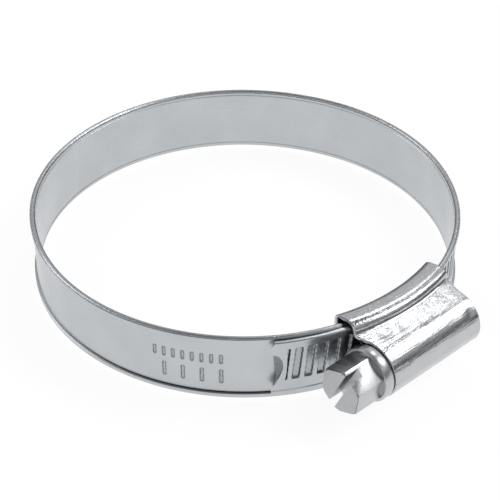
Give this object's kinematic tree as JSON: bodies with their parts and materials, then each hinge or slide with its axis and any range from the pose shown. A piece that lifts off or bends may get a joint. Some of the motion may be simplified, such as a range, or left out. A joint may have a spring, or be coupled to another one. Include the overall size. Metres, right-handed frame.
{
  "type": "hose clamp",
  "caption": "Worm-drive hose clamp with a rolled-edge band, pressed thread grooves, a wrap-round tunnel housing and a slotted hexagonal screw.",
  "frame": {"origin": "middle of the hose bore, on the hose axis at half the band's width", "axes": "+Z along the hose axis, +X towards the housing, and the screw lies along Y with its head towards -Y"},
  "size_m": [0.0805, 0.0716, 0.0138],
  "materials": {
    "zinc_band": "bright zinc-plated rolled strip, lightly brushed along its length",
    "zinc_housing": "bright zinc-plated pressed sheet, almost mirror-like on the tunnel",
    "zinc_screw": "bright zinc-plated cold-headed steel"
  },
  "bodies": {
    "housing": {"housing": "zinc_housing", "anchor_end": "zinc_band"},
    "threaded_end": {"threaded_end": "zinc_band"},
    "band_link_01": {"band_link_01": "zinc_band"},
    "band_link_02": {"band_link_02": "zinc_band"},
    "band_link_03": {"band_link_03": "zinc_band"},
    "band_link_04": {"band_link_04": "zinc_band"},
    "band_link_05": {"band_link_05": "zinc_band"},
    "band_link_06": {"band_link_06": "zinc_band"},
    "band_link_07": {"band_link_07": "zinc_band"},
    "band_link_08": {"band_link_08": "zinc_band"},
    "band_link_09": {"band_link_09": "zinc_band"},
    "band_tongue": {"band_tongue": "zinc_band"},
    "screw": {"worm_screw": "zinc_screw"}
  },
  "joints": [
    {"name": "band_feed", "type": "hinge", "parent": "housing", "child": "threaded_end", "pos_m": [0.00059, -0.00101, 0], "axis": [0, 0, -1], "range_deg": [0, 50.53]},
    {"name": "screw_turn", "type": "hinge", "parent": "housing", "child": "screw", "pos_m": [0.04057, 0, 0], "axis": [0, 1, 0], "range_deg": [0, 5760.1]},
    {"name": "flex_01", "type": "hinge", "parent": "threaded_end", "child": "band_link_01", "pos_m": [0.01404, 0.03228, 0], "axis": [0, 0, 1], "range_deg": [0, 5.32]},
    {"name": "flex_02", "type": "hinge", "parent": "band_link_01", "child": "band_link_02", "pos_m": [-0.00186, 0.03469, 0], "axis": [0, 0, 1], "range_deg": [0, 4.76]},
    {"name": "flex_03", "type": "hinge", "parent": "band_link_02", "child": "band_link_03", "pos_m": [-0.01715, 0.0297, 0], "axis": [0, 0, 1], "range_deg": [0, 4.26]},
    {"name": "flex_04", "type": "hinge", "parent": "band_link_03", "child": "band_link_04", "pos_m": [-0.0297, 0.01715, 0], "axis": [0, 0, 1], "range_deg": [0, 4.19]},
    {"name": "flex_05", "type": "hinge", "parent": "band_link_04", "child": "band_link_05", "pos_m": [-0.0343, 0, 0], "axis": [0, 0, 1], "range_deg": [0, 4.62]},
    {"name": "flex_06", "type": "hinge", "parent": "band_link_05", "child": "band_link_06", "pos_m": [-0.0297, -0.01715, 0], "axis": [0, 0, 1], "range_deg": [0, 5.29]},
    {"name": "flex_07", "type": "hinge", "parent": "band_link_06", "child": "band_link_07", "pos_m": [-0.01715, -0.0297, 0], "axis": [0, 0, 1], "range_deg": [0, 5.82]},
    {"name": "flex_08", "type": "hinge", "parent": "band_link_07", "child": "band_link_08", "pos_m": [0.00225, -0.03479, 0], "axis": [0, 0, 1], "range_deg": [0, 5.92]},
    {"name": "flex_09", "type": "hinge", "parent": "band_link_08", "child": "band_link_09", "pos_m": [0.02123, -0.02833, 0], "axis": [0, 0, 1], "range_deg": [0, 5.61]},
    {"name": "flex_10", "type": "hinge", "parent": "band_link_09", "child": "band_tongue", "pos_m": [0.0335, -0.01248, 0], "axis": [0, 0, 1], "range_deg": [0, 5.24]}
  ],
  "couplings": [
    {"joint": "screw_turn", "follows": "band_feed", "ratio": 114},
    {"joint": "flex_01", "follows": "band_feed", "ratio": 0.10427},
    {"joint": "flex_02", "follows": "band_feed", "ratio": 0.09319},
    {"joint": "flex_03", "follows": "band_feed", "ratio": 0.0833},
    {"joint": "flex_04", "follows": "band_feed", "ratio": 0.08194},
    {"joint": "flex_05", "follows": "band_feed", "ratio": 0.0904},
    {"joint": "flex_06", "follows": "band_feed", "ratio": 0.1037},
    {"joint": "flex_07", "follows": "band_feed", "ratio": 0.11416},
    {"joint": "flex_08", "follows": "band_feed", "ratio": 0.11622},
    {"joint": "flex_09", "follows": "band_feed", "ratio": 0.1101},
    {"joint": "flex_10", "follows": "band_feed", "ratio": 0.10272}
  ]
}
